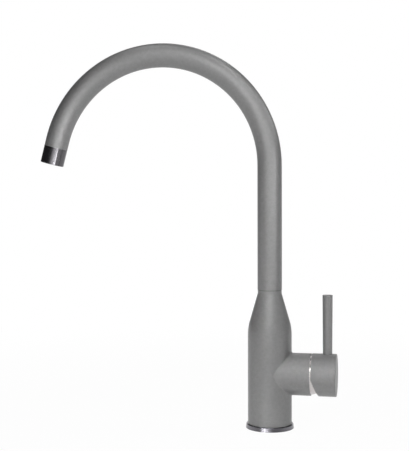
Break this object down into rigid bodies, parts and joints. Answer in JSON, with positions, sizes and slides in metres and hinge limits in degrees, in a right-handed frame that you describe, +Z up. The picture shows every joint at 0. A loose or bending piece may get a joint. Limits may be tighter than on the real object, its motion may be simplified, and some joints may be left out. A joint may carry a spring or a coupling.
{
  "type": "mixer tap",
  "caption": "Single-hole mixer tap with a high swivel gooseneck spout, a bottle-shaped body, a side lever and an aerator.",
  "frame": {"origin": "centre of the deck hole, on the deck plane under the base ring", "axes": "+Z up along the body's axis, +X along the valve's axis towards the lever, the spout reaching towards -X at rest"},
  "size_m": [0.3242, 0.0506, 0.4078],
  "materials": {
    "painted_casting": "satin grey paint with a fine grain on cast brass",
    "painted_tube": "satin grey paint with a fine grain on brass tube",
    "polished_metal": "polished chrome plating",
    "bare_brass": "turned brass",
    "screw_steel": "stainless steel",
    "ceramic": "lapped white ceramic",
    "white_plastic": "moulded off-white plastic",
    "dark_plastic": "moulded black plastic",
    "seal_rubber": "black rubber"
  },
  "bodies": {
    "base": {"body": "painted_casting", "base_ring": "polished_metal", "base_seal": "seal_rubber", "slip_washer": "dark_plastic", "retaining_screw": "screw_steel", "cartridge_base": "white_plastic", "seat_seals": "seal_rubber", "disc_seals": "seal_rubber", "fixed_disc": "ceramic", "cartridge_housing": "white_plastic", "cartridge_nut": "bare_brass", "dome_shroud": "polished_metal"},
    "spout": {"spout_tube": "painted_tube", "spout_nipple": "bare_brass", "spout_seals": "seal_rubber", "slip_rings": "white_plastic", "outlet_bush": "bare_brass", "aerator_housing": "polished_metal", "aerator_insert": "white_plastic", "flow_restrictor": "white_plastic", "aerator_screen": "screw_steel", "aerator_washer": "seal_rubber"},
    "mixing_collar": {"turning_collar": "white_plastic", "pivot_pin": "screw_steel"},
    "disc_slider": {"moving_disc": "ceramic", "disc_carrier": "white_plastic"},
    "lever": {"stem": "screw_steel", "hub": "painted_casting", "lever_pin": "painted_casting", "set_screw": "screw_steel", "hub_plug": "dark_plastic"}
  },
  "joints": [
    {"name": "spout_swivel", "type": "hinge", "parent": "base", "child": "spout", "pos_m": [0, 0, 0.1442], "axis": [0, 0, 1], "continuous": true},
    {"name": "temperature", "type": "hinge", "parent": "base", "child": "mixing_collar", "pos_m": [0.042, 0, 0.057], "axis": [1, 0, 0], "range_deg": [-50, 50]},
    {"name": "lever_tilt", "type": "hinge", "parent": "mixing_collar", "child": "lever", "pos_m": [0.042, 0, 0.057], "axis": [0, 1, 0], "range_deg": [0, 20]},
    {"name": "disc_slide", "type": "slide", "parent": "mixing_collar", "child": "disc_slider", "axis": [0, 0, 1], "range_m": [0, 0.00385]}
  ],
  "couplings": [
    {"joint": "disc_slide", "follows": "lever_tilt", "m_per_rad": 0.011}
  ]
}
